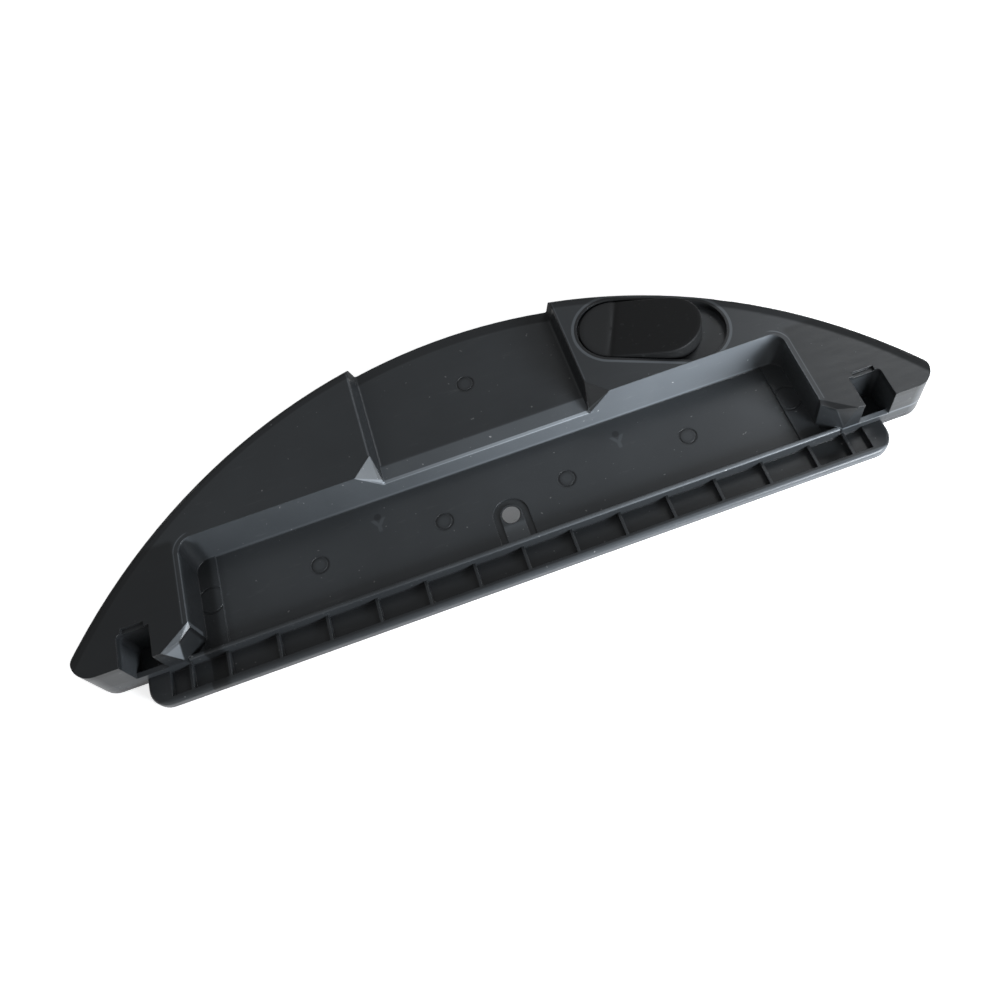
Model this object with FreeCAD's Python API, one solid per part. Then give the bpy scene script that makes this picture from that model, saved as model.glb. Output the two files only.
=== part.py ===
import FreeCAD, Part
import os
from math import acos, cos, hypot, radians, sin, sqrt, tan

V = FreeCAD.Vector

# Frame: X along the tank, Y from the straight front lip to the curved back, Z up.
# The origin is the middle of the underside. All sizes are in millimetres.

# Plan of the tank
depth = 94.4               # front lip to the top of the curved back
arc_radius = 170.0         # curved back, concentric with the round robot
tip_radius = 7.2           # rounded tips where the curve meets the front wall
lip_reach = 10.6           # how far the ribbed lip stands out in front of the body

# Heights
height = 17.2              # underside to the raised ends
mid_level = 10.4           # underside to the low middle field
plate = 2.0                # floor of the lower tray
wall = 1.8                 # walls and ceiling of the upper shell
back_round = 2.4           # rounding of the top edge along the curved back

# Steps between the middle field and the raised ends
step_half = 37.2           # middle of the tank to the top edge of a step
step_draft = 12.0          # degrees
step_round = 1.2
step_cove = 0.9
field_bevel_run = 5.6      # shallow bevel along the front of the middle field
field_bevel_drop = 0.8
facet_side = 6.6           # cut-off corner at the front of each step

# Long trough behind the front wall
trough_half = 103.5        # middle of the tank to the end wall
chamber_width = 47.8       # top edge of the sloping back wall to the curved back
trough_draft = 10.0        # degrees, back wall
trough_floor = 1.2         # thickness of the trough's floor
trough_corner = 4.6
ridge = 1.6                # thickness of the low wall that closes the trough in front
ridge_rise = 3.0           # how far it stands above the trough's floor
pad_width = 6.7            # raised pad at each end of the trough
pad_rise = 0.6

# Ears: the raised ends beside the trough
ear_cut = 5.9              # diagonal corner, along Y
ear_cut_x = 6.4            # diagonal corner, along X
ear_band_drop = 1.3        # bevel above the diagonal
ear_facet_reach = 3.1      # corner facet beyond the diagonal, along X
ear_notch = 3.7            # end wall of the trough to the facet's inner corner

# Catch pockets in the ears
pocket_inset = 12.0        # end wall of the trough to the pocket's inner side
pocket_width = 10.4
pocket_depth = 11.0        # front wall to the pocket's back
pocket_wall = 1.4
pocket_corner = 1.6
sill_top = 6.0             # underside to the top of the low front sill
rim_ledge = 1.5            # shallow step behind the pocket's top edge
rim_ledge_drop = 1.0
catch_width = 3.6
catch_depth = 4.0
catch_height = 6.0

# Ribbed lip on the lower tray
lip_half = 124.2
lip_corner = 7.0
lip_floor = 1.2
lip_top = 3.2
lip_rim = 2.4
lip_round = 1.2
rib_pitch = 16.35
ribs_each_side = 6
rib = 1.0
end_rib_x = 110.2
end_pad_x = 116.8

# Filler and its rubber stopper
stopper_bearing = 25.0     # degrees from Y, seen from the centre of the curve
stopper_inset = 15.5       # curved back to the middle of the recess
recess_half = 13.0         # half the distance between the recess's round ends
recess_end = 12.2
recess_drop = 2.5
stopper_gap = 0.3          # clearance round the stopper and under its flap
flap_length = 18.6         # hinge line to the centre of the flap's round end
flap_rise = 10.0           # degrees, top of the flap
knuckle = 0.9              # radius of the flap's rolled edge
plug_reach = 14.0          # hinge line to the middle of the plug
plug_radius = 7.0
plug_gap = 0.7
plug_depth = 4.0
peg_radius = 2.0
peg_gap = 0.2

# Vent in the trough's floor
vent_y = 12.0              # front wall to the vent's centre
membrane_radius = 3.0
membrane = 0.6
vent_hole = 1.8
vent_slot = 2.0            # air groove in the tray, below the vent
vent_slot_drop = 0.8
moat_inner = 3.7
moat_outer = 6.0
moat_drop = 0.5

# Outlets for the cloth, in the underside
outlet_x = 44.0
outlet_inset = 11.4        # trough's back wall to the outlet's centre
wick_radius = 4.6
wick_length = 4.4
cap_radius = 7.0
cap = 0.9
collar = 1.4
part_gap = 0.15            # clearance round a part that drops into its seat

# Hook strips for the cloth, let into the underside
strip = 0.5
strip_bed = 0.9            # depth of its bed, which also takes the hooks' height
front_strip_half = 96.0
front_strip_width = 14.0
front_strip_y = 20.0       # front lip to the strip's nearer edge
back_strip_width = 12.0
back_strip_inset = 9.0     # curved back to the strip
back_strip_angle = 32.0    # degrees each way

# Mould marks
mark_radius = 3.1
mark_line = 0.6
mark_drop = 0.2
mark_pitch = 42.6
mark_y = 17.8              # front wall to the row of marks
field_mark_y = 62.0        # front wall to the mark on the middle field
pad_mark_radius = 4.8

# Weld ribs of the lower tray
weld_rib = 1.2
weld_rise = 1.6
weld_gap = 0.2

# Places that follow from the sizes above
front = -depth / 2
body_front = front + lip_reach
trough_width = depth - lip_reach - chamber_width
arc_y = depth / 2 - arc_radius
floor_top = plate + trough_floor
ridge_top = floor_top + ridge_rise
trough_back = body_front + trough_width
pocket_x = trough_half + pocket_inset
ceiling = height - wall
far = 2 * arc_radius


def rounded_wire(corners, z=0.0):
    """Closed wire through (x, y, radius) corners; each corner is turned by a tangent arc."""
    count = len(corners)
    turns = []
    for i, (x, y, radius) in enumerate(corners):
        here = V(x, y, z)
        before = (V(*corners[i - 1][:2], z) - here).normalize()
        after = (V(*corners[(i + 1) % count][:2], z) - here).normalize()
        if radius <= 0:
            turns.append((here, None, here))
            continue
        half = acos(before.dot(after)) / 2
        run = radius / tan(half)
        inward = (before + after).normalize()
        centre = here + inward * (radius / sin(half))
        turns.append((here + before * run, centre - inward * radius, here + after * run))
    edges = []
    for i, (start, middle, end) in enumerate(turns):
        if middle is not None:
            edges.append(Part.Arc(start, middle, end).toShape())
        following = turns[(i + 1) % count][0]
        if end.distanceToPoint(following) > 1e-6:
            edges.append(Part.LineSegment(end, following).toShape())
    return Part.Wire(edges)


def prism(wire, bottom, top):
    """The area inside a wire drawn at height zero, raised between two heights."""
    solid = Part.Face(wire).extrude(V(0, 0, top - bottom))
    solid.translate(V(0, 0, bottom))
    return solid


def bar(x0, x1, y0, y1, z0, z1):
    return Part.makeBox(x1 - x0, y1 - y0, z1 - z0, V(x0, y0, z0))


def post(radius, x, y, bottom, top):
    return Part.makeCylinder(radius, top - bottom, V(x, y, bottom))


def ring(outer, inner, x, y, bottom, top):
    return post(outer, x, y, bottom, top).cut(post(inner, x, y, bottom, top))


def tetra(a, b, c, d):
    """Solid with four corners, used to cut a flat facet off a corner."""
    faces = []
    for triangle in ((a, b, c), (a, b, d), (a, c, d), (b, c, d)):
        corners = [V(*p) for p in triangle]
        faces.append(Part.Face(Part.makePolygon(corners + corners[:1])))
    solid = Part.Solid(Part.Shell(faces))
    if solid.Volume < 0:
        solid.reverse()
    return solid


def clear_of(facet, room):
    """Part of a room that lies less than a wall's thickness behind a facet, or outside it."""
    a, b, c, outside = (V(*p) for p in facet)
    normal = (b - a).cross(c - a).normalize()
    if normal.dot(outside - a) < 0:
        normal = normal * -1
    slab = Part.makeBox(far, far, far, V(-far / 2, -far / 2, 0))
    slab.Placement = FreeCAD.Placement(a - normal * wall, FreeCAD.Rotation(V(0, 0, 1), normal))
    return room.common(slab)


def flipped(shape):
    """The same shape on the other end of the tank."""
    return shape.mirror(V(0, 0, 0), V(1, 0, 0))


def both_ends(shape):
    return [shape, flipped(shape)]


def along_y(profile, y0, y1):
    """A wire drawn as (x, z), carried from y0 to y1."""
    solid = Part.Face(profile).extrude(V(0, 0, y1 - y0))
    solid.rotate(V(0, 0, 0), V(1, 0, 0), 90)
    solid.translate(V(0, y1, 0))
    return solid


def along_x(profile, x0, x1):
    """A wire drawn as (y, z), carried from x0 to x1."""
    solid = Part.Face(profile).extrude(V(0, 0, x1 - x0))
    solid.rotate(V(0, 0, 0), V(1, 1, 1), 120)
    solid.translate(V(x0, 0, 0))
    return solid


def body_outline(inset=0.0):
    """Plan of the body: straight front, curved back and round tips, moved in by inset."""
    tip_y = body_front + tip_radius
    reach = arc_radius - tip_radius
    tip_x = sqrt(reach ** 2 - (tip_y - arc_y) ** 2)
    small = tip_radius - inset
    tip = V(tip_x, tip_y, 0)
    outward = (tip - V(0, arc_y, 0)).normalize()
    side = (outward + V(0, -1, 0)).normalize()
    top = V(0, arc_y + arc_radius - inset, 0)

    def other(p):
        return V(-p.x, p.y, p.z)

    low = tip + V(0, -small, 0)
    bend = tip + side * small
    high = tip + outward * small
    return Part.Wire([
        Part.LineSegment(other(low), low).toShape(),
        Part.Arc(low, bend, high).toShape(),
        Part.Arc(high, top, other(high)).toShape(),
        Part.Arc(other(high), other(bend), other(low)).toShape()])


def rounded_disc(top):
    """Disc of the curved back, with its upper edge rounded."""
    disc = post(arc_radius, 0, arc_y, 0, top)
    rim = [e for e in disc.Edges if e.Closed and abs(e.BoundBox.ZMin - top) < 1e-6]
    return disc.makeFillet(back_round, rim)


def field_void(grow=0.0):
    """Space over the low middle field, with drafted and rounded sides."""
    low = mid_level - grow
    foot = step_half - (height - mid_level) * tan(radians(step_draft)) + grow
    edge = step_half + grow
    brow = edge + step_round
    over = height + back_round
    corners = [(-brow, over, 0), (-brow, height, 0), (-edge, height, step_round / 2),
               (-foot, low, step_cove), (foot, low, step_cove),
               (edge, height, step_round / 2), (brow, height, 0), (brow, over, 0)]
    return along_y(rounded_wire(corners), -far, far)


def trough_corners(z, grow=0.0):
    """Plan of the trough at one height; its ends turn out diagonally beside the ears."""
    back = trough_back - (height - z) * tan(radians(trough_draft)) + grow
    end = trough_half + grow
    slope = ear_cut_x / ear_cut
    out = lip_reach / 2
    span = hypot(ear_cut, ear_cut_x)
    turn_y = body_front + ear_cut + grow * (span - ear_cut) / ear_cut_x
    mouth = end + (turn_y - body_front + out) * slope
    corner = trough_corner + grow
    half = [(mouth, body_front - out, 0), (end, turn_y, 0), (end, back, corner)]
    return half + [(-x, y, r) for x, y, r in reversed(half)]


def trough_void(bottom, grow=0.0):
    """Space of the trough from the given height upward."""
    top = height + back_round
    wires = [rounded_wire(trough_corners(z, grow), z) for z in (bottom, top)]
    return Part.makeLoft(wires, True, True)


def step_facet():
    """Corner cut off where a step meets the trough's back wall: its corners, one outside."""
    foot = step_half - (height - mid_level) * tan(radians(step_draft))
    wall_foot = trough_back - (height - mid_level) * tan(radians(trough_draft))
    on_front = (step_half + facet_side, trough_back, height)
    on_step = (step_half, trough_back + facet_side, height)
    low = (foot, wall_foot, mid_level - field_bevel_drop)
    outside = (foot - wall, wall_foot - wall, height + wall)
    return on_front, on_step, low, outside


def ear_facets():
    """Bevel over the ear's diagonal corner, and the facet where it meets the front."""
    slope = ear_cut / ear_cut_x
    mouth = trough_half + ear_cut_x
    turn = body_front + ear_cut
    band_low = height - ear_band_drop
    meet_x = trough_half + ear_notch
    meet = (meet_x, turn - (meet_x - trough_half) * slope, band_low)
    top_turn = (trough_half, turn + ear_band_drop, height)
    top_tip = (mouth + ear_facet_reach, body_front, height)
    foot = (mouth - part_gap, body_front, ridge_top)
    start = (trough_half, turn, band_low)
    outside = (trough_half, body_front - wall, height + wall)
    return [(top_tip, meet, foot, outside), (top_turn, top_tip, meet, outside),
            (top_turn, meet, start, outside)]


def pocket_wire(grow=0.0):
    x0 = pocket_x - grow
    x1 = pocket_x + pocket_width + grow
    y0 = body_front - lip_reach / 2
    y1 = body_front + pocket_depth + grow
    return rounded_wire([(x0, y0, 0), (x1, y0, 0), (x1, y1, pocket_corner + grow),
                         (x0, y1, 0)])


def pocket_void():
    """Pocket that is open on top, and in front above its sill."""
    over = height + wall
    tall = prism(pocket_wire(), sill_top, over)
    inner = bar(0, far, body_front + wall, body_front + far, 0, over)
    deep = prism(pocket_wire(), 0, sill_top + part_gap).common(inner)
    y1 = body_front + pocket_depth
    ledge = bar(pocket_x + pocket_corner, pocket_x + pocket_width - pocket_corner,
                y1 - rim_ledge, y1 + rim_ledge, height - rim_ledge_drop, over)
    return tall.fuse([deep, ledge])


def stopper_axes():
    """Hinge point in plan, direction along the stopper, and its bearing."""
    bearing = radians(stopper_bearing)
    along = V(cos(bearing), -sin(bearing), 0)
    radius = arc_radius - stopper_inset
    middle = V(sin(bearing), cos(bearing), 0) * radius + V(0, arc_y, 0)
    return middle - along * recess_half, along


def placed(shape):
    """Move a shape drawn along X from the origin to the stopper's place."""
    hinge, along = stopper_axes()
    shape.rotate(V(0, 0, 0), V(0, 0, 1), -stopper_bearing)
    shape.translate(hinge)
    return shape


def stadium(length, radius, bottom, top):
    """Upright slot shape from the origin along X."""
    body = bar(0, length, -radius, radius, bottom, top)
    ends = [post(radius, 0, 0, bottom, top), post(radius, length, 0, bottom, top)]
    return body.fuse(ends).removeSplitter()


def recess_floor():
    return height - recess_drop


def stopper_recess():
    """Recess for the stopper with the filler hole and the hole of its peg."""
    over = height + wall
    recess = stadium(2 * recess_half, recess_end, recess_floor(), over)
    filler = post(plug_radius + plug_gap, plug_reach, 0, 0, over)
    peg = post(peg_radius + peg_gap, -recess_end / 2, 0, 0, over)
    return placed(recess.fuse([filler, peg]))


def stopper_tub():
    """Material that surrounds the recess below the ceiling."""
    floor = recess_floor() - wall
    return placed(stadium(2 * recess_half, recess_end + wall, floor, height))


def cavity():
    """Water chamber behind the trough and the dry chambers in the ears."""
    room = prism(body_outline(wall), 0, ceiling)
    walls = [field_void(wall), trough_void(0, wall), stopper_tub()]
    walls.append(bar(-far, far, trough_back, trough_back + wall, 0, height))
    walls += both_ends(prism(pocket_wire(pocket_wall), 0, height))
    reach = 2 * facet_side
    corner = bar(0, step_half + reach, trough_back, trough_back + reach, mid_level - wall, height)
    walls += both_ends(clear_of(step_facet(), corner))
    corner = bar(trough_half, pocket_x, body_front, body_front + 2 * ear_cut, 0, height)
    for facet in ear_facets():
        walls += both_ends(clear_of(facet, corner))
    return room.cut(walls)


def ridge_wall():
    """Low wall along the front of the trough, rounded on top."""
    half = trough_half + ear_cut_x - ridge / 2
    crown = ridge / 2 - part_gap
    corners = [(body_front, plate, 0), (body_front + ridge, plate, 0),
               (body_front + ridge, ridge_top, crown), (body_front, ridge_top, crown)]
    return along_x(rounded_wire(corners), -half, half)


def end_pads():
    """Slightly raised pads at both ends of the trough's floor."""
    y1 = trough_back - (height - floor_top) * tan(radians(trough_draft))
    pad = bar(trough_half - pad_width, trough_half + wall / 2, body_front + ridge / 2,
              y1 + wall / 2, plate, floor_top + pad_rise)
    return both_ends(pad)


def vent_moat():
    """U-shaped groove round the vent, open towards the front."""
    y = body_front + vent_y
    low = floor_top - moat_drop
    over = floor_top + pad_rise

    def tongue(radius):
        leg = bar(-radius, radius, body_front + ridge, y, low, over)
        return post(radius, 0, y, low, over).fuse(leg)

    return tongue(moat_outer).cut(tongue(moat_inner))


def floor_marks():
    """Round mould marks in the trough, on the end pads and on the middle field."""
    inner = mark_radius - mark_line
    y = body_front + mark_y
    marks = []
    for i in (-1.5, -0.5, 0.5, 1.5):
        marks.append(ring(mark_radius, inner, i * mark_pitch, y,
                          floor_top - mark_drop, floor_top + part_gap))
    marks.append(ring(mark_radius, inner, 0, body_front + field_mark_y,
                      mid_level - mark_drop, mid_level + part_gap))
    pad_top = floor_top + pad_rise
    pad_x = trough_half - pad_width / 2
    pad = ring(pad_mark_radius, pad_mark_radius - mark_line, pad_x, y + mark_line,
               pad_top - mark_drop, pad_top + part_gap)
    over_pad = bar(trough_half - pad_width, trough_half, body_front, far, 0, height)
    return marks + both_ends(pad.common(over_pad))


def upper_shell():
    """Smoked cover: raised ends, low field, trough, ears, pockets and stopper recess."""
    low = prism(body_outline(), plate, mid_level).common(rounded_disc(mid_level))
    tall = prism(body_outline(), plate, height).common(rounded_disc(height))
    shell = tall.cut(field_void()).fuse(low)
    bevel = [(trough_back + field_bevel_run, mid_level, 0),
             (trough_back - wall, mid_level - field_bevel_drop, 0),
             (trough_back - wall, mid_level + wall, 0),
             (trough_back + field_bevel_run, mid_level + wall, 0)]
    foot = step_half - (height - mid_level) * tan(radians(step_draft))
    shell = shell.cut(along_x(rounded_wire(bevel), -foot, foot))
    shell = shell.cut(trough_void(floor_top))
    shell = shell.fuse([ridge_wall()] + end_pads()).removeSplitter()
    shell = shell.cut(cavity())
    for facet in [step_facet()] + ear_facets():
        shell = shell.cut(both_ends(tetra(*facet)))
    shell = shell.cut(both_ends(pocket_void()) + [stopper_recess()])
    y = body_front + vent_y
    seat = post(membrane_radius + part_gap, 0, y, floor_top - membrane, height)
    hole = post(vent_hole, 0, y, 0, height)
    return shell.cut([vent_moat(), seat, hole] + floor_marks())


def lip_block():
    """Front lip of the tray with its open cells, ribs and end pads."""
    corners = [(-lip_half, front, lip_corner), (lip_half, front, lip_corner),
               (lip_half, body_front + wall, 0), (-lip_half, body_front + wall, 0)]
    block = prism(rounded_wire(corners), 0, lip_top)
    rim = [e for e in block.Edges if abs(e.BoundBox.ZMin - lip_top) < 1e-6
           and e.BoundBox.YMax < body_front and e.BoundBox.ZMax - lip_top < 1e-6]
    block = block.makeFillet(lip_round, rim)
    inner = front + lip_rim
    block = block.cut(bar(-end_pad_x, end_pad_x, inner, body_front, lip_floor, lip_top))
    places = [i * rib_pitch for i in range(-ribs_each_side, ribs_each_side + 1)]
    ribs = [bar(x - rib / 2, x + rib / 2, inner, body_front, lip_floor, lip_top)
            for x in places + [-end_rib_x, end_rib_x]]
    block = block.fuse(ribs)
    return block.cut(bar(-far, far, body_front, far, plate, height))


def weld_ribs():
    """Ribs that locate the tray inside the water chamber of the upper shell."""
    inset = wall + weld_gap
    top = plate + weld_rise
    band = prism(body_outline(inset), plate, top)
    band = band.cut(prism(body_outline(inset + weld_rib), plate, top))
    back = trough_back + wall + weld_gap
    band = band.common(bar(-far, far, back, far, 0, top))
    half = trough_half - 2 * trough_corner
    straight = bar(-half, half, back, back + weld_rib, plate, top)
    return band.fuse(straight)


def outlet_places():
    return [(side * outlet_x, trough_back + outlet_inset) for side in (-1, 1)]


def back_strip_solid(bottom, grow=0.0):
    """Hook strip that follows the curved back, from the given height to its bed's ceiling."""
    outer = arc_radius - back_strip_inset + grow
    inner = outer - back_strip_width - 2 * grow
    sweep = 2 * back_strip_angle
    thick = strip_bed - bottom
    blank = Part.makeCylinder(outer, thick, V(0, arc_y, bottom), V(0, 0, 1), sweep)
    core = Part.makeCylinder(inner, thick, V(0, arc_y, bottom), V(0, 0, 1), sweep)
    solid = blank.cut(core)
    solid.rotate(V(0, arc_y, 0), V(0, 0, 1), 90 - back_strip_angle)
    return solid


def front_strip_solid(bottom, grow=0.0):
    y0 = front + front_strip_y
    return bar(-front_strip_half - grow, front_strip_half + grow, y0 - grow,
               y0 + front_strip_width + grow, bottom, strip_bed)


def pocket_catch():
    """Ramped catch that stands on the tray inside a pocket."""
    y0 = body_front + wall + catch_depth / 2
    top = plate + catch_height
    corners = [(y0, plate, 0), (y0 + catch_depth, plate, 0),
               (y0 + catch_depth, top, 0), (y0, top - catch_depth / 2, 0)]
    x0 = pocket_x + part_gap
    return along_x(rounded_wire(corners), x0, x0 + catch_width)


def lower_tray():
    """Floor of the tank with the ribbed lip, outlets and hook-strip beds."""
    floor = prism(body_outline(), 0, plate)
    tray = floor.fuse([lip_block(), weld_ribs()] + both_ends(pocket_catch()))
    for x, y in outlet_places():
        tray = tray.fuse(post(wick_radius + part_gap + collar, x, y, 0, cap + wick_length))
    for x, y in outlet_places():
        tray = tray.cut([post(cap_radius + part_gap, x, y, 0, cap),
                         post(wick_radius + part_gap, x, y, 0, height)])
    y = body_front + vent_y
    groove = bar(-vent_slot / 2, vent_slot / 2, y - vent_hole,
                 trough_back + 2 * wall + weld_rib + weld_gap, plate - vent_slot_drop, height)
    beds = [back_strip_solid(0, part_gap), front_strip_solid(0, part_gap)]
    return tray.cut([groove] + beds).removeSplitter()


def stopper_anchor():
    """Fixed round end of the rubber stopper, held by a peg through the shell."""
    floor = recess_floor()
    top = height - stopper_gap
    radius = recess_end - stopper_gap
    anchor = post(radius, 0, 0, floor, top)
    axis_z = hinge_height()
    room = knuckle + stopper_gap
    anchor = anchor.cut(bar(0, radius, -radius, radius, floor, top))
    anchor = anchor.cut(Part.makeCylinder(room, 2 * radius, V(0, -radius, axis_z),
                                          V(0, 1, 0)))
    slant = [(0, axis_z, 0), (-room, axis_z + knuckle / 4, 0),
             (-room - knuckle, top, 0), (0, top, 0)]
    anchor = anchor.cut(along_y(rounded_wire(slant), -radius, radius))
    peg = post(peg_radius, -recess_end / 2, 0, floor - wall - peg_gap, floor)
    barb = Part.makeCone(peg_radius, peg_radius + 2 * peg_gap, wall / 2,
                         V(-recess_end / 2, 0, floor - wall - peg_gap - wall / 2))
    return placed(anchor.fuse([peg, barb]))


def hinge_height():
    return recess_floor() + stopper_gap + knuckle


def stopper_flap():
    """Moving end of the rubber stopper: rising grip, rolled edge and filler plug."""
    radius = recess_end - stopper_gap
    under = recess_floor() + stopper_gap
    axis_z = hinge_height()
    end = flap_length + radius
    brow = axis_z + knuckle + end * tan(radians(flap_rise))
    side = [(0, under, 0), (end, under, 0), (end, brow, 0), (0, axis_z + knuckle, 0)]
    wedge = along_y(rounded_wire(side), -radius, radius)
    slot = stadium(flap_length, radius, under, brow)
    flap = wedge.common(slot)
    half_width = sqrt(radius ** 2 - knuckle ** 2)
    roll = Part.makeCylinder(knuckle, 2 * half_width, V(0, -half_width, axis_z), V(0, 1, 0))
    plug = post(plug_radius, plug_reach, 0, under - plug_depth, under)
    hollow = post(plug_radius - wall, plug_reach, 0, under - plug_depth, under)
    return placed(flap.fuse([roll, plug.cut(hollow)]).removeSplitter())


def vent_membrane():
    y = body_front + vent_y
    return post(membrane_radius, 0, y, floor_top - membrane, floor_top)


def outlet_wick(x, y):
    return post(wick_radius, x, y, cap, cap + wick_length)


def outlet_cap(x, y):
    """Snap-in ring that keeps the wick in its collar."""
    return ring(cap_radius, wick_radius - collar, x, y, 0, cap)


def save(name, shape):
    assert shape.isValid(), name
    assert len(shape.Solids) == 1, (name, len(shape.Solids))
    shape.Solids[0].exportStep("parts/" + name + ".step")


os.makedirs("parts", exist_ok=True)
save("upper_shell", upper_shell())
save("lower_tray", lower_tray())
save("stopper_anchor", stopper_anchor())
save("stopper_flap", stopper_flap())
save("vent_membrane", vent_membrane())
for side, place in zip(("left", "right"), outlet_places()):
    save("outlet_wick_" + side, outlet_wick(*place))
    save("outlet_cap_" + side, outlet_cap(*place))
save("hook_strip_front", front_strip_solid(strip_bed - strip))
save("hook_strip_back", back_strip_solid(strip_bed - strip))
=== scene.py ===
import bpy
import math
import numpy as np
from mathutils import Matrix, Vector


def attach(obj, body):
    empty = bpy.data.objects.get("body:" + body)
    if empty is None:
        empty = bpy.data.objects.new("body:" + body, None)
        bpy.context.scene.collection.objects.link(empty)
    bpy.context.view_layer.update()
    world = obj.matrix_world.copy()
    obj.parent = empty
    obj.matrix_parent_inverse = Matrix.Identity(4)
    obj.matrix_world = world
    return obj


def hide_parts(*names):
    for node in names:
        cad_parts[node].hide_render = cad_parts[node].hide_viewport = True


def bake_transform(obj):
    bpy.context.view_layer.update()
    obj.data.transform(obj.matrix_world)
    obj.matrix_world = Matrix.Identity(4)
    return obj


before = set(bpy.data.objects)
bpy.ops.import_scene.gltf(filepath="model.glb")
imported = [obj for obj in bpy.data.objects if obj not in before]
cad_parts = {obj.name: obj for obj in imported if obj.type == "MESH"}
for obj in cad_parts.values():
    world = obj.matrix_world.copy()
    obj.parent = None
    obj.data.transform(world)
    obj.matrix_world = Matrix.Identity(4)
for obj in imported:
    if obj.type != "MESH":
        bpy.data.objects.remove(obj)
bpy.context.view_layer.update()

# Sizes in mm, in the frame of the CAD: X along the tank, Y to its curved back, Z up
MM = 0.001
ARC_CENTRE = (0.0, -122.8)      # centre of the curved back
ARC_RADIUS = 170.0
BACK_BAND = 4.8                 # dull band along the curved back
LIP_FRONT = -47.2
BODY_FRONT = -36.6              # front wall, behind the ribbed lip
TOP = 17.2                      # raised ends
MID_LEVEL = 10.4                # low middle field
FIELD_BEVEL_RUN = 5.6           # shallow bevel along the front of the middle field
FIELD_BEVEL_DROP = 0.8
STEP_HALF = 37.2                # top edge of a step

# Trough
TROUGH_HALF = 103.5             # end wall
TROUGH_BACK = -0.6              # top edge of the sloping back wall
FLOOR_TOP = 3.2
RIDGE_TOP = 6.2                 # low wall in front
CORNER = 4.6                    # rounding of its back corners
PAD_EDGE = 96.8                 # inner edge of an end pad

# Corner facet of a step: its outer corner and its normal
FACET_END = STEP_HALF + 6.6
FACET_PLAN, FACET_UP = 0.536, 0.652

# Ear's diagonal corner: its run along Y and X, its start and its normal
EAR_CUT, EAR_CUT_X = 5.9, 6.4
CUT_Y = BODY_FRONT + EAR_CUT
CUT_ACROSS = EAR_CUT / math.hypot(EAR_CUT, EAR_CUT_X)
CUT_ALONG = EAR_CUT_X / math.hypot(EAR_CUT, EAR_CUT_X)

# Vent, and the small marks of the mould
VENT_Y = BODY_FRONT + 12.0
MOAT_RADIUS = 4.9
RING_PITCH = 42.6
RING_RADIUS = 2.5
RING_FADE = 1.7
RING_SHADE = 0.72
RING_Y = BODY_FRONT + 17.8
FIELD_RING_Y = BODY_FRONT + 62.0
MARK = (42.0, -12.4)            # small Y-shaped mark in the trough, on each side
MARK_SLOPE = 0.7                # how far its arms spread, for each mm along Y

# Recess round the stopper: a slot with round ends
BEARING = math.radians(25)
STOPPER_INSET = 15.5            # curved back to the middle of the recess
SLOT_LENGTH = 26.0              # between the centres of its round ends
SLOT_RADIUS = 12.2

# Rubber stopper: hinge point in plan, heights and outline
HINGE = (ARC_CENTRE[0] + (ARC_RADIUS - STOPPER_INSET) * math.sin(BEARING)
         - SLOT_LENGTH / 2 * math.cos(BEARING),
         ARC_CENTRE[1] + (ARC_RADIUS - STOPPER_INSET) * math.cos(BEARING)
         + SLOT_LENGTH / 2 * math.sin(BEARING))
SKIN_RADIUS = 11.7
SKIN_LENGTH = 18.6
SKIN_UNDER = 15.0
SKIN_TOP = 16.8
SKIN_RISE = math.radians(9.6)
SKIN_LEAN = 0.06                # how far its side wall leans in, for each mm of height
SKIN_EDGE = 0.6                 # rounding of its rim
CREASE_DEPTH = 0.14
CREASE_WIDTH = 0.8
BEND_LENGTH = 6.0               # a length behind the crease
PLUG_REACH = 14.0
PLUG_RADIUS = 7.0
PLUG_DEPTH = 4.0
PLUG_WALL = 1.6
PLUG_SWELL = 0.45               # how far its sealing ring stands out
PEG_REACH = -6.1
PEG_RADIUS = 2.0
PEG_BARB = 0.4
PEG_LOW = 11.9
SEATED = 0.2                    # how far plug and peg reach into the skin

# Hook strips in the underside
HOOK_PITCH = 1.5
HOOK_ROOT = 0.45                # heights of a hook's root and tip
HOOK_TIP = 0.03
HOOK_HALF = 0.26                # half the diagonal of a hook's root
HOOK_TAPER = 0.45
HOOK_LEAN = 0.42
FRONT_STRIP = (-95.0, 95.0, -26.4, -14.0)               # in X, then in Y
BACK_STRIP = (149.9, 160.1, math.radians(31.6))         # two radii, and the angle each way

# Studio. The camera's angles are in radians, its lengths in metres
CAMERA_AZIMUTH, CAMERA_ELEVATION, CAMERA_ROLL = -0.105418, 1.057453, -0.244324
CAMERA_DISTANCE = 0.309889
CAMERA_TARGET = (0.013231, -0.008214, 0.0)
CAMERA_SHIFT = -0.035
SENSOR = 36.0
LENS = 917.3025 / 1000 * SENSOR     # focal length in pixels of a picture 1000 pixels wide
FLOOR_REACH = 6.0
FLOOR_DROP = 0.0002                 # keeps the floor clear of the underside
FLOOR_GLOW = 0.62
ROOM_LIGHT = 0.30


# Meshes

def mesh_piece(name, points, faces, body, material, smooth=True):
    """Object at the origin from points in mm and a list of faces."""
    mesh = bpy.data.meshes.new(name)
    faces = faces if isinstance(faces, list) else faces.tolist()
    mesh.from_pydata((np.asarray(points, float) * MM).tolist(), [], faces)
    mesh.polygons.foreach_set("use_smooth", np.full(len(mesh.polygons), smooth))
    mesh.materials.append(material)
    mesh.update()
    piece = bpy.data.objects.new(name, mesh)
    bpy.context.scene.collection.objects.link(piece)
    if body:
        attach(piece, body)
    return piece


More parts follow.
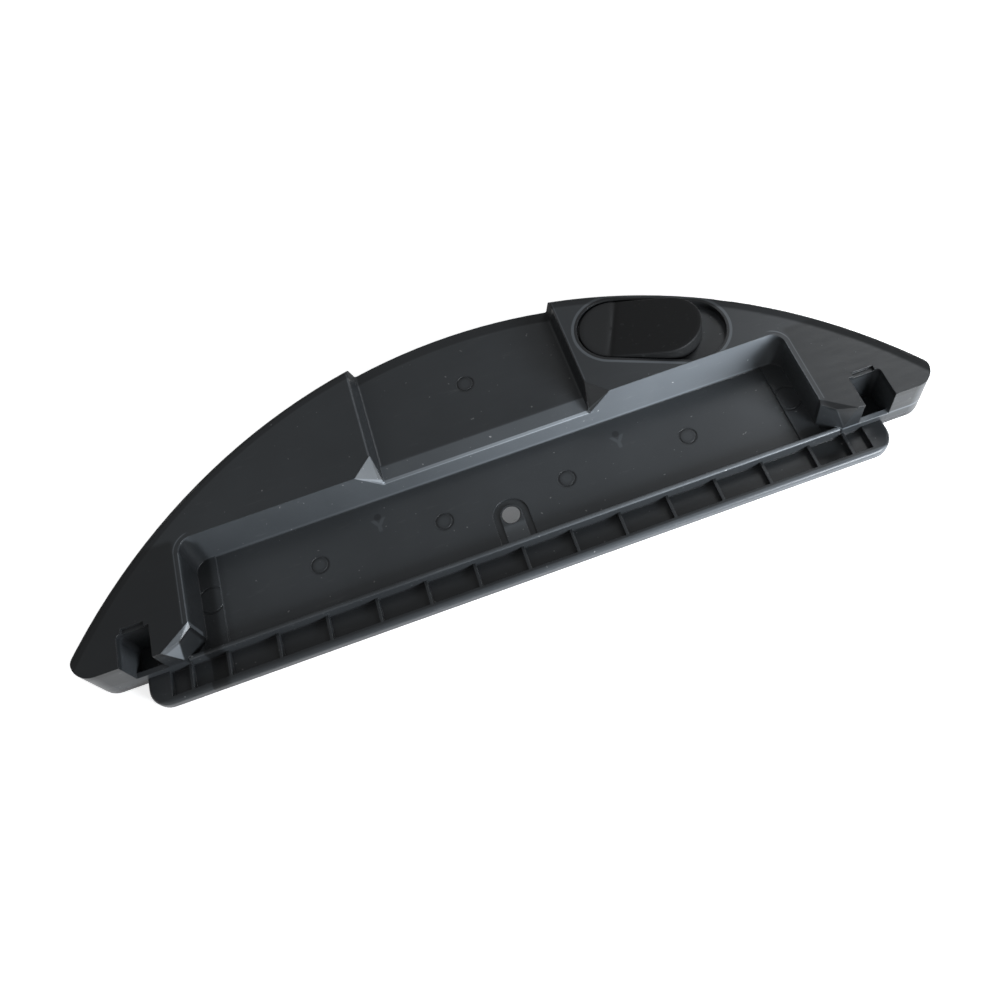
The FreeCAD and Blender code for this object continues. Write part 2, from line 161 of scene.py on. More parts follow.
def grid_faces(rows, columns, wrap=True):
    """Quads of a rows by columns grid of points, joined round its columns when wrap is set."""
    i, j = np.meshgrid(np.arange(rows - 1), np.arange(columns if wrap else columns - 1),
                       indexing="ij")
    k = (j + 1) % columns
    return np.stack([i * columns + j, i * columns + k, (i + 1) * columns + k,
                     (i + 1) * columns + j], -1).reshape(-1, 4)


def merged(points, faces, tolerance=1e-5):
    """The same surface with points that coincide made one, and empty faces left out."""
    keys = np.round(points / tolerance).astype(np.int64)
    unique, first, inverse = np.unique(keys, axis=0, return_index=True, return_inverse=True)
    faces = inverse.reshape(-1)[faces]
    cleaned = []
    for face in faces.tolist():
        ring = [v for n, v in enumerate(face) if v != face[n - 1]]
        if len(set(ring)) > 2:
            cleaned.append(ring)
    return points[first], cleaned


def turned(profile, centre, count=48):
    """Surface of revolution: each (radius, z) of the profile carried round a vertical axis."""
    angle = np.linspace(0, 2 * math.pi, count, endpoint=False)
    radius, z = np.array(profile, float).T
    x = centre[0] + radius[:, None] * np.cos(angle)
    y = centre[1] + radius[:, None] * np.sin(angle)
    points = np.stack([x, y, np.broadcast_to(z[:, None], x.shape)], -1).reshape(-1, 3)
    return merged(points, grid_faces(len(profile), count))


def along_stopper(s, t, z):
    """Points at s along the stopper and t across it, from its hinge, as x, y, z."""
    x = HINGE[0] + s * math.cos(BEARING) + t * math.sin(BEARING)
    y = HINGE[1] - s * math.sin(BEARING) + t * math.cos(BEARING)
    return np.stack(np.broadcast_arrays(x, y, z), -1)


# Materials

class Finish:
    """A node material of one piece's finish, with short calls for its nodes."""

    def __init__(self, name):
        self.material = bpy.data.materials.new(name)
        self.material.use_nodes = True
        self.tree = self.material.node_tree
        self.shader = self.tree.nodes["Principled BSDF"]
        self.coordinates = self.node("ShaderNodeTexCoord").outputs["Object"]

    def node(self, kind, **settings):
        made = self.tree.nodes.new(kind)
        for key, value in settings.items():
            setattr(made, key, value)
        return made

    def join(self, value, socket):
        if isinstance(value, bpy.types.NodeSocket):
            self.tree.links.new(value, socket)
        else:
            socket.default_value = value

    def maths(self, operation, *values, clamp=False):
        made = self.node("ShaderNodeMath", operation=operation, use_clamp=clamp)
        for value, socket in zip(values, made.inputs):
            self.join(value, socket)
        return made.outputs[0]

    def span(self, value, low, high, to_low=0.0, to_high=1.0, smooth=True):
        """Value mapped from low..high to to_low..to_high, held at both ends."""
        made = self.node("ShaderNodeMapRange", clamp=True,
                         interpolation_type="SMOOTHSTEP" if smooth else "LINEAR")
        self.join(value, made.inputs["Value"])
        for key, number in (("From Min", low), ("From Max", high),
                            ("To Min", to_low), ("To Max", to_high)):
            made.inputs[key].default_value = number
        return made.outputs["Result"]

    def noise(self, scale, detail=2.0, roughness=0.5, stretch=None):
        made = self.node("ShaderNodeTexNoise")
        source = self.coordinates
        if stretch:
            mapping = self.node("ShaderNodeMapping")
            mapping.inputs["Scale"].default_value = stretch
            self.join(source, mapping.inputs["Vector"])
            source = mapping.outputs["Vector"]
        self.join(source, made.inputs["Vector"])
        made.inputs["Scale"].default_value = scale
        made.inputs["Detail"].default_value = detail
        made.inputs["Roughness"].default_value = roughness
        return made.outputs["Fac"]

    def place(self):
        """Object coordinates in mm, as x, y and z."""
        scaled = self.node("ShaderNodeVectorMath", operation="SCALE")
        self.join(self.coordinates, scaled.inputs[0])
        scaled.inputs["Scale"].default_value = 1000.0
        split = self.node("ShaderNodeSeparateXYZ")
        self.join(scaled.outputs[0], split.inputs[0])
        return split.outputs

    def near(self, value, place, reach):
        """1 at a place, falling to 0 at its reach on both sides."""
        off = self.maths("ABSOLUTE", self.maths("SUBTRACT", value, place))
        return self.span(off, reach, 0.0)

    def distance(self, x, y, centre_x, centre_y):
        """Distance in plan from a point, in mm."""
        dx = self.maths("SUBTRACT", x, centre_x)
        dy = self.maths("SUBTRACT", y, centre_y)
        return self.maths("SQRT", self.maths(
            "ADD", self.maths("MULTIPLY", dx, dx), self.maths("MULTIPLY", dy, dy)))

    def product(self, *areas):
        """Areas or strengths multiplied together."""
        result = areas[0]
        for area in areas[1:]:
            result = self.maths("MULTIPLY", result, area)
        return result

    def above(self, value, edge, fade):
        """0 up to an edge, rising to 1 over the fade beyond it."""
        return self.span(value, edge, edge + fade)

    def below(self, value, edge, fade):
        """0 down to an edge, rising to 1 over the fade below it."""
        return self.span(value, edge, edge - fade)

    def plane(self, *terms):
        """Sum of factor times (value - place), such as the distance from a plane."""
        total = 0.0
        for factor, value, place in terms:
            off = self.maths("SUBTRACT", value, place)
            total = self.maths("ADD", total, self.maths("MULTIPLY", off, factor))
        return total

    def from_hinge(self, x, y):
        """Places along the stopper and across it from its hinge, in mm."""
        cos, sin = math.cos(BEARING), math.sin(BEARING)
        return (self.plane((cos, x, HINGE[0]), (-sin, y, HINGE[1])),
                self.plane((sin, x, HINGE[0]), (cos, y, HINGE[1])))

    def to_slot(self, x, y):
        """Distance in plan from the centre line of the stopper's recess, in mm."""
        s, t = self.from_hinge(x, y)
        held = self.maths("MINIMUM", self.maths("MAXIMUM", s, 0.0), SLOT_LENGTH)
        return self.distance(self.maths("SUBTRACT", s, held), t, 0.0, 0.0)

    def blend(self, factor, low, high):
        """Colour between low and high."""
        made = self.node("ShaderNodeMix", data_type="RGBA")
        self.join(factor, made.inputs[0])
        self.join(low, made.inputs[6])
        self.join(high, made.inputs[7])
        return made.outputs[2]

    def shade(self, colour, factor):
        """Colour times a grey factor."""
        made = self.node("ShaderNodeVectorMath", operation="SCALE")
        self.join(colour, made.inputs[0])
        self.join(factor, made.inputs["Scale"])
        return made.outputs[0]

    def bump(self, height, distance, strength=1.0, normal=None):
        made = self.node("ShaderNodeBump")
        self.join(height, made.inputs["Height"])
        made.inputs["Distance"].default_value = distance
        made.inputs["Strength"].default_value = strength
        if normal is not None:
            self.join(normal, made.inputs["Normal"])
        return made.outputs["Normal"]

    def soft_edges(self, radius):
        made = self.node("ShaderNodeBevel", samples=4)
        made.inputs["Radius"].default_value = radius
        return made.outputs["Normal"]

    def set(self, **values):
        for key, value in values.items():
            self.join(value, self.shader.inputs[key.replace("_", " ")])
        return self.material


def grey(level, blue=0.0):
    return (level, level * (1 + blue * 0.5), level * (1 + blue), 1.0)


class SmokedPlastic(Finish):
    """Smoked plastic, near black and faintly blue, with random variation, painted light and painted
    shade set zone by zone.

    A zone is a product of values that are 1 inside it and 0 outside. Places are in mm.
    """

    def __init__(self, name, level, rough):
        super().__init__(name)
        self.x, self.y, self.z = self.place()
        self.side = self.maths("ABSOLUTE", self.x)
        self.left = self.below(self.x, 5.0, 10.0)
        self.right = self.above(self.x, -5.0, 10.0)
        self.high = self.above(self.z, 14.5, 1.0)
        self.floor = self.product(self.above(self.z, FLOOR_TOP - 0.3, 0.2),
                                  self.below(self.z, FLOOR_TOP + 1.4, 0.4),
                                  self.above(self.y, BODY_FRONT + 0.1, 0.2))
        # Random variation of the colour; the zones below multiply painted light and painted shade
        # into it.
        self.tone_and_light = self.span(self.noise(30.0, 3.0), 0.3, 0.7, 0.90, 1.10, smooth=False)
        self.tops()
        self.recess()
        self.back_wall()
        self.field_front()
        self.steps()
        self.step_facets()
        self.trough_ends()
        self.ear_corners()
        self.trough_floor()
        self.front()
        self.ridge()
        self.vent()
        self.mould_rings()
        self.mould_mark()
        self.surface(level, rough)

    def times(self, factor, *areas):
        """Multiply the colour by a factor inside a zone."""
        gain = self.span(self.product(*areas), 0.0, 1.0, 1.0, factor)
        self.tone_and_light = self.product(self.tone_and_light, gain)

    def glow(self, *areas):
        """Painted light: multiply the colour by one plus the product of a zone and its strength."""
        self.tone_and_light = self.product(self.tone_and_light, self.maths("ADD", 1.0, self.product(*areas)))

    def tops(self):
        """Dark ears, painted shade of their hollows seen through the plastic, and a dull band along
        the curved back, darkened as painted shade of its rounded edge and by the wall seen through
        it.
        """
        self.times(0.5, self.above(self.side, TROUGH_HALF, 3.0), self.below(self.y, 1.5, 3.0),
                   self.high)
        from_arc = self.distance(self.x, self.y, *ARC_CENTRE)
        self.band = self.above(from_arc, ARC_RADIUS - BACK_BAND, 1.4)
        self.times(0.5, self.band)

    def recess(self):
        """Painted shade along the edge of the stopper's recess, with a painted highlight on the lip
        round it.
        """
        slot = self.to_slot(self.x, self.y)
        top = self.product(self.above(self.y, TROUGH_BACK, 0.4), self.high)
        self.times(0.40, self.below(slot, SLOT_RADIUS + 1.0, 0.3), top)
        self.times(2.8, self.above(slot, SLOT_RADIUS + 0.8, 0.3),
                   self.below(slot, SLOT_RADIUS + 2.1, 0.5), top)

    def back_wall(self):
        """Painted light on the sloping back wall of the trough, brighter to the right."""
        self.glow(self.above(self.y, TROUGH_BACK - 3.0, 0.7),
                  self.below(self.y, TROUGH_BACK + 0.1, 0.2),
                  self.below(self.side, TROUGH_HALF - 0.5, 4.0),
                  self.above(self.z, FLOOR_TOP + 0.1, 0.6),
                  self.span(self.x, -100.0, 70.0, 0.5, 2.9))

    def field_front(self):
        """Painted highlight on the bevel in front of the middle field and on the thin line below it,
        brighter to the right.
        """
        middle = self.below(self.side, STEP_HALF + 0.3, 1.0)
        bevel = self.product(middle, self.below(self.y, TROUGH_BACK + FIELD_BEVEL_RUN, 0.4),
                             self.above(self.y, TROUGH_BACK - 1.3, 0.2),
                             self.above(self.z, MID_LEVEL - 1.4, 0.3),
                             self.below(self.z, MID_LEVEL - 0.02, 0.08))
        line = self.product(middle, self.near(self.y, TROUGH_BACK - 1.15, 0.35),
                            self.near(self.z, MID_LEVEL - FIELD_BEVEL_DROP + 0.02, 0.4))
        for area, strength in ((bevel, 1.9), (line, 0.9)):
            self.glow(area, self.span(self.x, -50.0, 40.0, 0.6 * strength, strength))

    def steps(self):
        """Painted shade on the walls of the two steps, with a painted highlight along their top."""
        self.times(0.6, self.above(self.side, STEP_HALF - 1.8, 0.3),
                   self.below(self.side, STEP_HALF + 0.15, 0.15),
                   self.above(self.z, MID_LEVEL + 0.1, 0.4),
                   self.above(self.y, TROUGH_BACK - 0.4, 1.0))
        self.times(2.2, self.near(self.side, STEP_HALF + 0.5, 0.4),
                   self.above(self.y, TROUGH_BACK + 6.4, 0.6), self.high)

    def step_facets(self):
        """Corner facet of each step, painted light on the left and painted shade on the right."""
        off = self.plane((-FACET_PLAN, self.side, FACET_END), (-FACET_PLAN, self.y, TROUGH_BACK),
                         (FACET_UP, self.z, TOP))
        facet = self.product(self.near(off, 0.0, 0.3), self.below(self.z, TOP - 0.03, 0.07),
                             self.below(self.side, FACET_END + 1.2, 0.8),
                             self.below(self.y, TROUGH_BACK + 8.1, 1.0),
                             self.above(self.side, STEP_HALF - 1.6, 0.3),
                             self.above(self.z, MID_LEVEL - 1.0, 0.3))
        self.times(2.6, facet, self.left)
        self.times(0.6, facet, self.right)

    def trough_ends(self):
        """Painted shade on the end wall on the left, and painted highlights along both rims and
        round their corners.
        """
        self.times(0.35, self.above(self.side, TROUGH_HALF - 6.5, 3.5),
                   self.below(self.side, TROUGH_HALF + 1.0, 0.6), self.left,
                   self.below(self.y, TROUGH_BACK - 0.3, 0.6), self.below(self.z, TOP - 0.3, 0.5))
        corner_y = TROUGH_BACK - CORNER
        rim = self.maths("MAXIMUM", self.near(self.side, TROUGH_HALF + 1.6, 0.35),
                         self.near(self.side, TROUGH_HALF + 0.15, 0.25))
        straight = self.product(rim, self.below(self.y, corner_y + 0.2, 0.4),
                                self.above(self.y, CUT_Y + 0.9, 0.6))
        from_corner = self.distance(self.side, self.y, TROUGH_HALF - CORNER, corner_y)
        bend = self.product(self.near(from_corner, CORNER + 1.6, 0.4),
                            self.above(self.y, corner_y - 0.2, 0.4),
                            self.above(self.side, TROUGH_HALF - CORNER, 3.0))
        self.times(3.0, self.maths("MAXIMUM", straight, bend), self.high)

    def ear_corners(self):
        """Diagonal wall and corner facet of each ear: painted light on the left facet, painted shade
        on the right facet and along the left wall.
        """
        behind = self.plane((CUT_ACROSS, self.side, TROUGH_HALF), (CUT_ALONG, self.y, CUT_Y))
        self.times(0.4, self.near(behind, 0.0, 0.06), self.below(self.y, CUT_Y + 0.3, 0.4),
                   self.below(self.side, TROUGH_HALF + 7.5, 0.8),
                   self.below(self.z, TOP - 1.25, 0.15), self.left)
        facet = self.product(self.above(behind, 0.05, 0.15), self.below(behind, 3.4, 0.2),
                             self.above(self.y, BODY_FRONT + 0.02, 0.08),
                             self.below(self.y, CUT_Y + 1.7, 0.4),
                             self.below(self.z, TOP - 0.01, 0.09),
                             self.below(self.side, TROUGH_HALF + 10.5, 0.5),
                             self.above(self.z, RIDGE_TOP, 0.4))
        self.times(4.2, facet, self.left)
        self.times(0.45, facet, self.right)

    def trough_floor(self):
        """Floor of the trough, lighter with painted light showing through its thin plate, with
        darker end pads and a lighter broken line along their edge.
        """
        self.times(0.85, self.above(self.side, PAD_EDGE - 3.3, 3.0), self.floor)
        self.times(1.3, self.floor, self.above(self.y, BODY_FRONT + 0.2, 1.4))
        # Noise that breaks up the lighter line along the pad edge.
        broken_line = self.above(self.noise(160.0, 5.0, 0.75), 0.50, 0.16)
        self.times(1.8, self.near(self.side, PAD_EDGE - 1.0, 2.4), self.floor, broken_line)

    def front(self):
        """Painted highlight on the front rim of the lip, brighter to the right, and painted shade on
        the walls of the tips.
        """
        self.glow(self.below(self.y, LIP_FRONT + 1.8, 0.6),
                  self.span(self.x, -100.0, 90.0, 0.4, 2.8))
        self.times(0.6, self.below(self.y, BODY_FRONT + 0.1, 0.08),
                   self.above(self.side, TROUGH_HALF + 0.5, 2.0),
                   self.above(self.z, RIDGE_TOP - 0.2, 1.0))

    def ridge(self):
        """Painted highlight on the crown of the low wall in front of the trough, brighter to the
        right.
        """
        self.glow(self.above(self.z, RIDGE_TOP - 0.7, 0.4), self.below(self.z, RIDGE_TOP + 0.4, 0.2),
                  self.below(self.y, BODY_FRONT + 2.0, 0.4),
                  self.span(self.x, -60.0, 95.0, 0.0, 3.0))

    def vent(self):
        """Dark moat round the vent, and the light tongue in front of it."""
        self.times(2.0, self.below(self.side, 4.4, 0.8), self.below(self.y, VENT_Y - 2.4, 2.0),
                   self.floor)
        leg = self.product(self.near(self.side, MOAT_RADIUS, 1.6), self.below(self.y, VENT_Y, 1.0))
        from_vent = self.distance(self.x, self.y, 0.0, VENT_Y)
        ring = self.product(self.near(from_vent, MOAT_RADIUS, 1.8),
                            self.above(self.y, VENT_Y - 1.0, 1.0))
        self.times(0.6, self.maths("MAXIMUM", leg, ring), self.floor)

    def mould_rings(self):
        """Faint round marks: four in the trough and one on the middle field."""
        for step in (0.5, 1.5):
            around = self.distance(self.side, self.y, step * RING_PITCH, RING_Y)
            self.times(RING_SHADE, self.near(around, RING_RADIUS, RING_FADE), self.floor)
        around = self.distance(self.x, self.y, 0.0, FIELD_RING_Y)
        self.times(RING_SHADE, self.near(around, RING_RADIUS, RING_FADE),
                   self.near(self.z, MID_LEVEL, 0.5))

    def mould_mark(self):
        """Small Y on each side: two arms where |x| follows the slope times y, a stem and a dot."""
        across = self.maths("ABSOLUTE", self.maths("SUBTRACT", self.side, MARK[0]))
        along = self.maths("SUBTRACT", self.y, MARK[1])
        arm = self.maths("ABSOLUTE", self.maths(
            "SUBTRACT", across, self.maths("MULTIPLY", along, MARK_SLOPE)))
        vee = self.product(self.below(arm, 1.1, 0.8), self.above(along, -0.4, 0.7),
                           self.below(along, 3.2, 1.0), self.floor)
        stem = self.product(self.below(across, 1.0, 0.7), self.above(along, -2.6, 1.0),
                            self.below(along, 0.6, 0.6), self.floor)
        self.times(1.55, self.maths("MAXIMUM", vee, stem))
        from_dot = self.distance(self.side, self.y, MARK[0], MARK[1] + 3.4)
        self.times(0.6, self.below(from_dot, 1.5, 0.6), self.floor)

    def surface(self, level, rough):
        """Colour with light scuffs and specks of dust, fine grain and soft edges."""
        scuff = self.noise(90.0, 4.0, 0.7, stretch=(1.0, 6.0, 6.0))
        dust = self.product(self.span(self.noise(700.0, 1.0), 0.755, 0.80), 0.35)
        colour = self.blend(self.span(scuff, 0.60, 0.84), grey(level, 0.2), grey(level * 1.6, 0.1))
        colour = self.blend(dust, colour, grey(0.22))
        roughness = self.span(scuff, 0.3, 0.8, rough, rough + 0.10, smooth=False)
        roughness = self.maths("ADD", roughness, self.product(self.band, 0.4), clamp=True)
        normal = self.bump(self.noise(2600.0, 2.0), 0.000012, 1.0, self.soft_edges(0.00035))
        self.set(Base_Color=self.shade(colour, self.tone_and_light), Roughness=roughness,
                 Normal=normal, Specular_IOR_Level=0.36)


def smoked(name, level, rough):
    return SmokedPlastic(name, level, rough).material


def rubber():
    """Black rubber: smooth over its fixed end, fine grained and darker over the grip."""
    finish = Finish("stopper_rubber")
    x, y, _ = finish.place()
    along, _ = finish.from_hinge(x, y)
    grip = finish.above(along, -0.4, 1.0)
    dust = finish.span(finish.noise(420.0, 4.0, 0.75), 0.60, 0.76, 0.0, 0.4)
    colour = finish.blend(grip, grey(0.014, 0.1), grey(0.008, 0.1))
    colour = finish.blend(dust, colour, grey(0.05, 0.1))
    roughness = finish.span(grip, 0.0, 1.0, 0.46, 0.60)
    grain = finish.product(finish.noise(1500.0, 3.0, 0.6), finish.span(grip, 0.0, 1.0, 0.25, 1.0))
    return finish.set(Base_Color=colour, Roughness=roughness,
                      Normal=finish.bump(grain, 0.00004), Specular_IOR_Level=0.22)


def membrane():
    """White porous vent film with faint fibres."""
    finish = Finish("white_membrane")
    fibre = finish.noise(1800.0, 4.0, 0.7, stretch=(1.0, 3.0, 1.0))
    colour = finish.blend(fibre, grey(0.13), grey(0.20))
    return finish.set(Base_Color=colour, Roughness=0.8, Normal=finish.bump(fibre, 0.00005))


def wick():
    """Off-white felt of the outlet wick."""
    finish = Finish("wick_fibre")
    fibre = finish.noise(900.0, 5.0, 0.75)
    strand = finish.noise(2400.0, 2.0, 0.5, stretch=(1.0, 1.0, 5.0))
    colour = finish.blend(fibre, (0.55, 0.53, 0.48, 1.0), (0.82, 0.80, 0.75, 1.0))
    height = finish.maths("ADD", fibre, finish.maths("MULTIPLY", strand, 0.5))
    return finish.set(Base_Color=colour, Roughness=0.95, Normal=finish.bump(height, 0.0003))


def dark_cap():
    """Black moulded plastic of the outlet caps, lightly textured."""
    finish = Finish("dark_cap")
    grain = finish.noise(1400.0, 2.0)
    cloud = finish.noise(120.0, 2.0)
    colour = finish.blend(cloud, grey(0.012), grey(0.02))
    return finish.set(Base_Color=colour, Roughness=finish.span(cloud, 0.3, 0.7, 0.38, 0.5),
                      Normal=finish.bump(grain, 0.00003, 1.0, finish.soft_edges(0.0002)))


def hook_tape():
    """Black woven backing of the hook strips."""
    finish = Finish("hook_tape")
    weave = finish.noise(1700.0, 2.0, 0.5, stretch=(1.0, 4.0, 1.0))
    cross = finish.noise(1700.0, 2.0, 0.5, stretch=(4.0, 1.0, 1.0))
    height = finish.maths("MAXIMUM", weave, cross)
    colour = finish.blend(height, grey(0.008), grey(0.03))
    return finish.set(Base_Color=colour, Roughness=0.7, Normal=finish.bump(height, 0.00012))


FINISHES = {
    "smoked_cover": smoked("smoked_cover", 0.026, 0.34),
    "smoked_tray": smoked("smoked_tray", 0.018, 0.30),
    "stopper_rubber": rubber(),
    "white_membrane": membrane(),
    "wick_fibre": wick(),
    "dark_cap": dark_cap(),
    "hook_tape": hook_tape(),
}
NODE_FINISH = {
    "upper_shell": "smoked_cover", "lower_tray": "smoked_tray",
    "stopper_anchor": "stopper_rubber", "stopper_flap": "stopper_rubber",
    "vent_membrane": "white_membrane",
    "outlet_wick_left": "wick_fibre", "outlet_wick_right": "wick_fibre",
    "outlet_cap_left": "dark_cap", "outlet_cap_right": "dark_cap",
    "hook_strip_front": "hook_tape", "hook_strip_back": "hook_tape",
}


def skin_top(s):
    """Height of the stopper's top at s from its hinge: level, a crease, then a rising grip."""
    rise = np.maximum(s, 0.0) * math.tan(SKIN_RISE)
    return SKIN_TOP + rise - CREASE_DEPTH * np.exp(-(s / CREASE_WIDTH) ** 2)


def stopper_skin():
    """Rubber stopper as one skin, level up to its crease and rising behind it.

    A point of its outline is c + R d, where c runs along the centre line and d turns round both
    ends. Each row is c + (R - inset) d: the underside, the wall that leans in as it rises,
    a rim turned by a quarter circle, and the top down to the centre line.
    """
    turn = np.linspace(-math.pi / 2, math.pi / 2, 33)
    run = np.linspace(0.0, SKIN_LENGTH, 30)[1:-1]
    centre = np.concatenate([np.full(33, SKIN_LENGTH), run[::-1], np.zeros(33), run])
    side = np.ones(28)
    d_along = np.concatenate([np.cos(turn), 0 * side, -np.cos(turn), 0 * side])
    d_across = np.concatenate([np.sin(turn), side, -np.sin(turn), -side])
    rows = []

    def row(inset, height):
        s = centre + (SKIN_RADIUS - inset) * d_along
        t = (SKIN_RADIUS - inset) * d_across
        rows.append(along_stopper(s, t, height(s)))

    for inset in (SKIN_RADIUS, 8.0, 4.0, 0.3):
        row(inset, lambda s: np.full_like(s, SKIN_UNDER))
    shoulder = skin_top(centre + SKIN_RADIUS * d_along) - SKIN_EDGE
    lean = SKIN_LEAN * (shoulder - SKIN_UNDER)
    for part in np.linspace(0.06, 1.0, 8):
        row(part * lean, lambda s: SKIN_UNDER + part * (shoulder - SKIN_UNDER))
    for angle in np.radians([15, 32, 50, 70, 90]):
        inset = lean + SKIN_EDGE * (1 - math.cos(angle))
        row(inset, lambda s: skin_top(s) - SKIN_EDGE * (1 - math.sin(angle)))
    for inset in np.linspace(2.2, SKIN_RADIUS, 9):
        row(np.maximum(inset, lean + SKIN_EDGE), skin_top)
    points = np.stack(rows).reshape(-1, 3)
    points, faces = merged(points, grid_faces(len(rows), len(centre)))
    skin = mesh_piece("stopper_skin", points, faces, None,
                      FINISHES["stopper_rubber"])
    start, end = along_stopper(np.array([0.0, BEND_LENGTH]), 0.0, SKIN_UNDER) * MM
    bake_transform(skin)
    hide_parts("stopper_anchor", "stopper_flap")


def stopper_plug():
    """Hollow plug under the grip: a turned profile with a sealing ring."""
    low = SKIN_UNDER - PLUG_DEPTH
    swell = [(PLUG_RADIUS + PLUG_SWELL * math.sin(math.pi * k / 6) ** 2, low + 0.5 + 0.45 * k)
             for k in range(7)]
    profile = [(PLUG_RADIUS - PLUG_WALL, SKIN_UNDER + SEATED),
               (PLUG_RADIUS - PLUG_WALL - 0.2, low + 0.4),
               (PLUG_RADIUS - PLUG_WALL + 0.1, low), (PLUG_RADIUS - 0.4, low)] + swell
    profile.append((PLUG_RADIUS, SKIN_UNDER + SEATED))
    centre = along_stopper(PLUG_REACH, 0.0, 0.0)
    points, faces = turned(profile, centre, 72)
    mesh_piece("stopper_plug", points, faces, "stopper",
               FINISHES["stopper_rubber"])


def stopper_peg():
    """Peg with a barb that holds the fixed end in the shell."""
    profile = [(0.01, PEG_LOW), (PEG_RADIUS, PEG_LOW + 0.1),
               (PEG_RADIUS + PEG_BARB, PEG_LOW + 0.9), (PEG_RADIUS, PEG_LOW + 1.0),
               (PEG_RADIUS - 0.1, SKIN_UNDER + SEATED)]
    centre = along_stopper(PEG_REACH, 0.0, 0.0)
    points, faces = turned(profile, centre, 32)
    mesh_piece("stopper_peg", points, faces, "tank",
               FINISHES["stopper_rubber"])


def hook_mesh(name, x, y, way):
    """One bent, tapered hook at each (x, y), its tip leaning along the angle way.

    At k from 0 at its root to 1 at its tip, a hook is its root square scaled by 1 - taper k
    and moved by lean k^2.
    """
    k = np.linspace(0.0, 1.0, 4)
    corner = np.radians([45, 135, 225, 315])
    half = HOOK_HALF * (1 - HOOK_TAPER * k)
    lean = HOOK_LEAN * k ** 2
    across = half[:, None] * np.cos(corner)
    along = half[:, None] * np.sin(corner) + lean[:, None]
    height = np.broadcast_to((HOOK_ROOT + (HOOK_TIP - HOOK_ROOT) * k)[:, None], across.shape)
    cos, sin = np.cos(way)[:, None, None], np.sin(way)[:, None, None]
    px = x[:, None, None] + along * cos - across * sin
    py = y[:, None, None] + along * sin + across * cos
    points = np.stack(np.broadcast_arrays(px, py, height), -1)
    count = len(x)
    shift = (np.arange(count) * 16)[:, None, None]
    sides = grid_faces(4, 4)[None] + shift
    caps = np.array([[15, 14, 13, 12], [0, 1, 2, 3]])[None] + shift
    faces = np.concatenate([sides, caps], 1).reshape(-1, 4)
    mesh_piece(name, points.reshape(-1, 3), faces, "tank", FINISHES["hook_tape"],
               smooth=False)


def front_hooks():
    x0, x1, y0, y1 = FRONT_STRIP
    x = np.arange(x0, x1, HOOK_PITCH)
    y = np.arange(y0, y1, HOOK_PITCH)
    x, y = (v.ravel() for v in np.meshgrid(x, y))
    way = np.where(np.round((y - y0) / HOOK_PITCH) % 2, 0.0, math.pi)
    hook_mesh("front_hooks", x, y, way)


def back_hooks():
    inner, outer, reach = BACK_STRIP
    radius = np.arange(inner, outer, HOOK_PITCH)
    angle = np.arange(-reach, reach, HOOK_PITCH / outer)
    radius, angle = (v.ravel() for v in np.meshgrid(radius, angle))
    row = np.round((radius - inner) / HOOK_PITCH) % 2
    x = ARC_CENTRE[0] + radius * np.sin(angle)
    y = ARC_CENTRE[1] + radius * np.cos(angle)
    hook_mesh("back_hooks", x, y, -angle + row * math.pi)


def dress_nodes():
    for name, slot in NODE_FINISH.items():
        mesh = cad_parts[name].data
        mesh.materials.clear()
        mesh.materials.append(FINISHES[slot])


# Camera, light and floor

def studio_camera():
    """Camera at the photograph's angle; its lens is set for a frame 1000 pixels wide."""
    data = bpy.data.cameras.new("photo_camera")
    camera = bpy.data.objects.new("photo_camera", data)
    bpy.context.scene.collection.objects.link(camera)
    azimuth, elevation, roll = CAMERA_AZIMUTH, CAMERA_ELEVATION, CAMERA_ROLL
    back = Vector((math.sin(azimuth) * math.cos(elevation),
                   -math.cos(azimuth) * math.cos(elevation), math.sin(elevation)))
    level = Vector((math.cos(azimuth), math.sin(azimuth), 0.0))
    rise = back.cross(level)
    right = level * math.cos(roll) + rise * math.sin(roll)
    up = rise * math.cos(roll) - level * math.sin(roll)
    turn = Matrix((right, up, back)).transposed().to_4x4()
    camera.matrix_world = Matrix.Translation(
        Vector(CAMERA_TARGET) + back * CAMERA_DISTANCE) @ turn
    data.sensor_width = SENSOR
    data.lens = LENS
    data.shift_x = data.shift_y = CAMERA_SHIFT
    data.clip_start = 0.01
    data.clip_end = 50.0
    bpy.context.scene.camera = camera


def lamp(name, place, aim, size, power, colour=(1.0, 1.0, 1.0)):
    data = bpy.data.lights.new(name, "AREA")
    data.shape = "RECTANGLE"
    data.size, data.size_y = size
    data.energy = power
    data.color = colour
    light = bpy.data.objects.new(name, data)
    bpy.context.scene.collection.objects.link(light)
    light.location = place
    direction = Vector(aim) - Vector(place)
    light.rotation_euler = direction.to_track_quat("-Z", "Y").to_euler()


def white_to_view(tree):
    """1 for rays that show the background: camera, glossy and transmission rays."""
    path = tree.nodes.new("ShaderNodeLightPath")
    first = tree.nodes.new("ShaderNodeMath")
    second = tree.nodes.new("ShaderNodeMath")
    first.operation = second.operation = "MAXIMUM"
    tree.links.new(path.outputs["Is Camera Ray"], first.inputs[0])
    tree.links.new(path.outputs["Is Glossy Ray"], first.inputs[1])
    tree.links.new(first.outputs[0], second.inputs[0])
    tree.links.new(path.outputs["Is Transmission Ray"], second.inputs[1])
    return second.outputs[0]


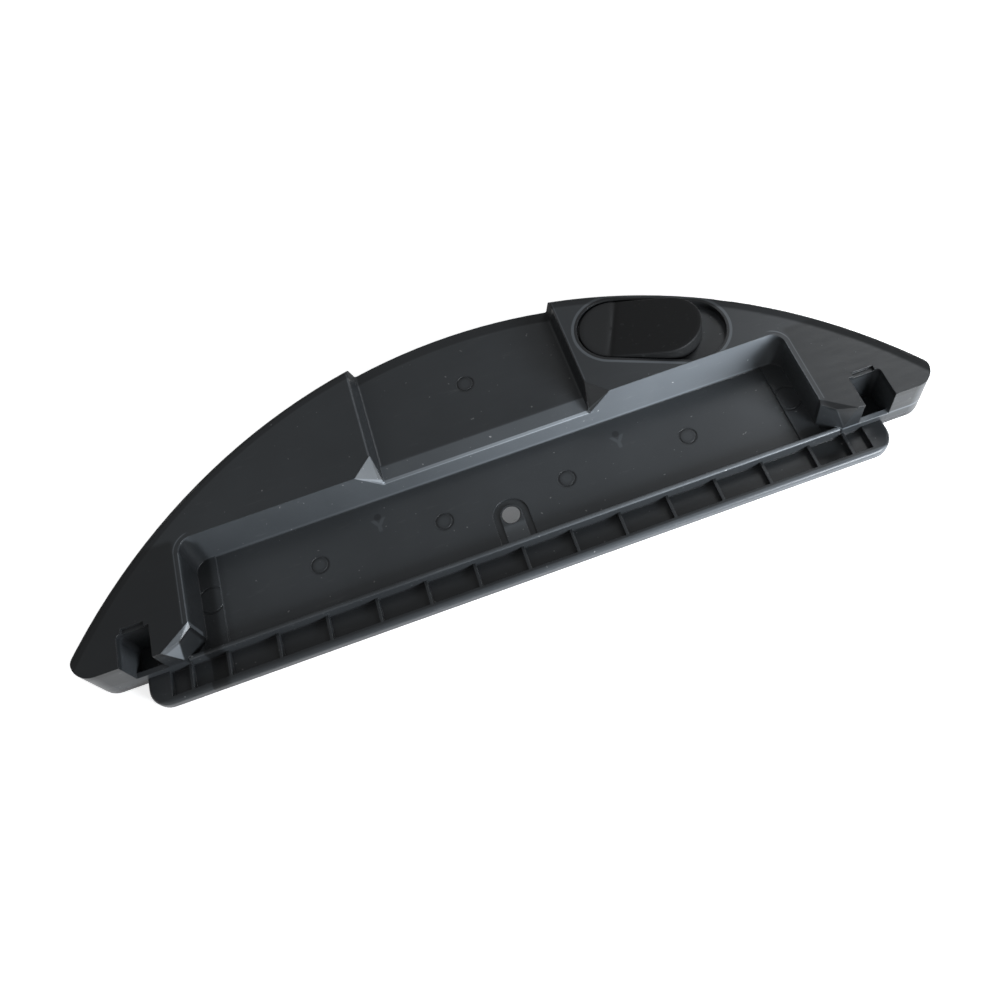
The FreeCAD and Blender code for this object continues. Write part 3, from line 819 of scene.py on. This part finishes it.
def studio_floor():
    mesh = bpy.data.meshes.new("floor")
    reach = FLOOR_REACH
    mesh.from_pydata([(-reach, -reach, 0), (reach, -reach, 0), (reach, reach, 0),
                      (-reach, reach, 0)], [], [(0, 1, 2, 3)])
    floor = bpy.data.objects.new("floor", mesh)
    bpy.context.scene.collection.objects.link(floor)
    floor.location.z = -FLOOR_DROP
    material = bpy.data.materials.new("floor_paper")
    material.use_nodes = True
    tree = material.node_tree
    shader = tree.nodes["Principled BSDF"]
    shader.inputs["Base Color"].default_value = (0.93, 0.93, 0.93, 1.0)
    shader.inputs["Roughness"].default_value = 0.9
    shader.inputs["Specular IOR Level"].default_value = 0.0
    shader.inputs["Emission Color"].default_value = (1.0, 1.0, 1.0, 1.0)
    lift = tree.nodes.new("ShaderNodeMath")
    lift.operation = "MULTIPLY"
    lift.inputs[1].default_value = FLOOR_GLOW
    tree.links.new(white_to_view(tree), lift.inputs[0])
    tree.links.new(lift.outputs[0], shader.inputs["Emission Strength"])
    mesh.materials.append(material)


def studio_light():
    world = bpy.data.worlds.new("studio")
    bpy.context.scene.world = world
    world.use_nodes = True
    tree = world.node_tree
    background = tree.nodes["Background"]
    background.inputs["Color"].default_value = (1.0, 1.0, 1.0, 1.0)
    ground = tree.nodes.new("ShaderNodeMapRange")
    ground.inputs["To Min"].default_value = ROOM_LIGHT
    ground.inputs["To Max"].default_value = 1.0
    path = tree.nodes.new("ShaderNodeLightPath")
    tree.links.new(path.outputs["Is Camera Ray"], ground.inputs["Value"])
    tree.links.new(ground.outputs["Result"], background.inputs["Strength"])
    lamp("front_softbox", (0.30, -0.36, 0.12), (0.02, -0.01, 0), (0.22, 0.16), 4.4,
         (0.90, 0.95, 1.0))
    lamp("back_softbox", (0.78, 0.58, 0.95), (0.06, 0, 0), (0.5, 0.5), 4.2,
         (0.94, 0.97, 1.0))
    lamp("left_fill", (-0.7, -0.6, 0.5), (0, 0, 0), (0.5, 0.5), 1.0)


dress_nodes()
stopper_skin()
stopper_plug()
stopper_peg()
front_hooks()
back_hooks()
studio_camera()
studio_floor()
studio_light()

bpy.context.scene.view_settings.view_transform = "Standard"
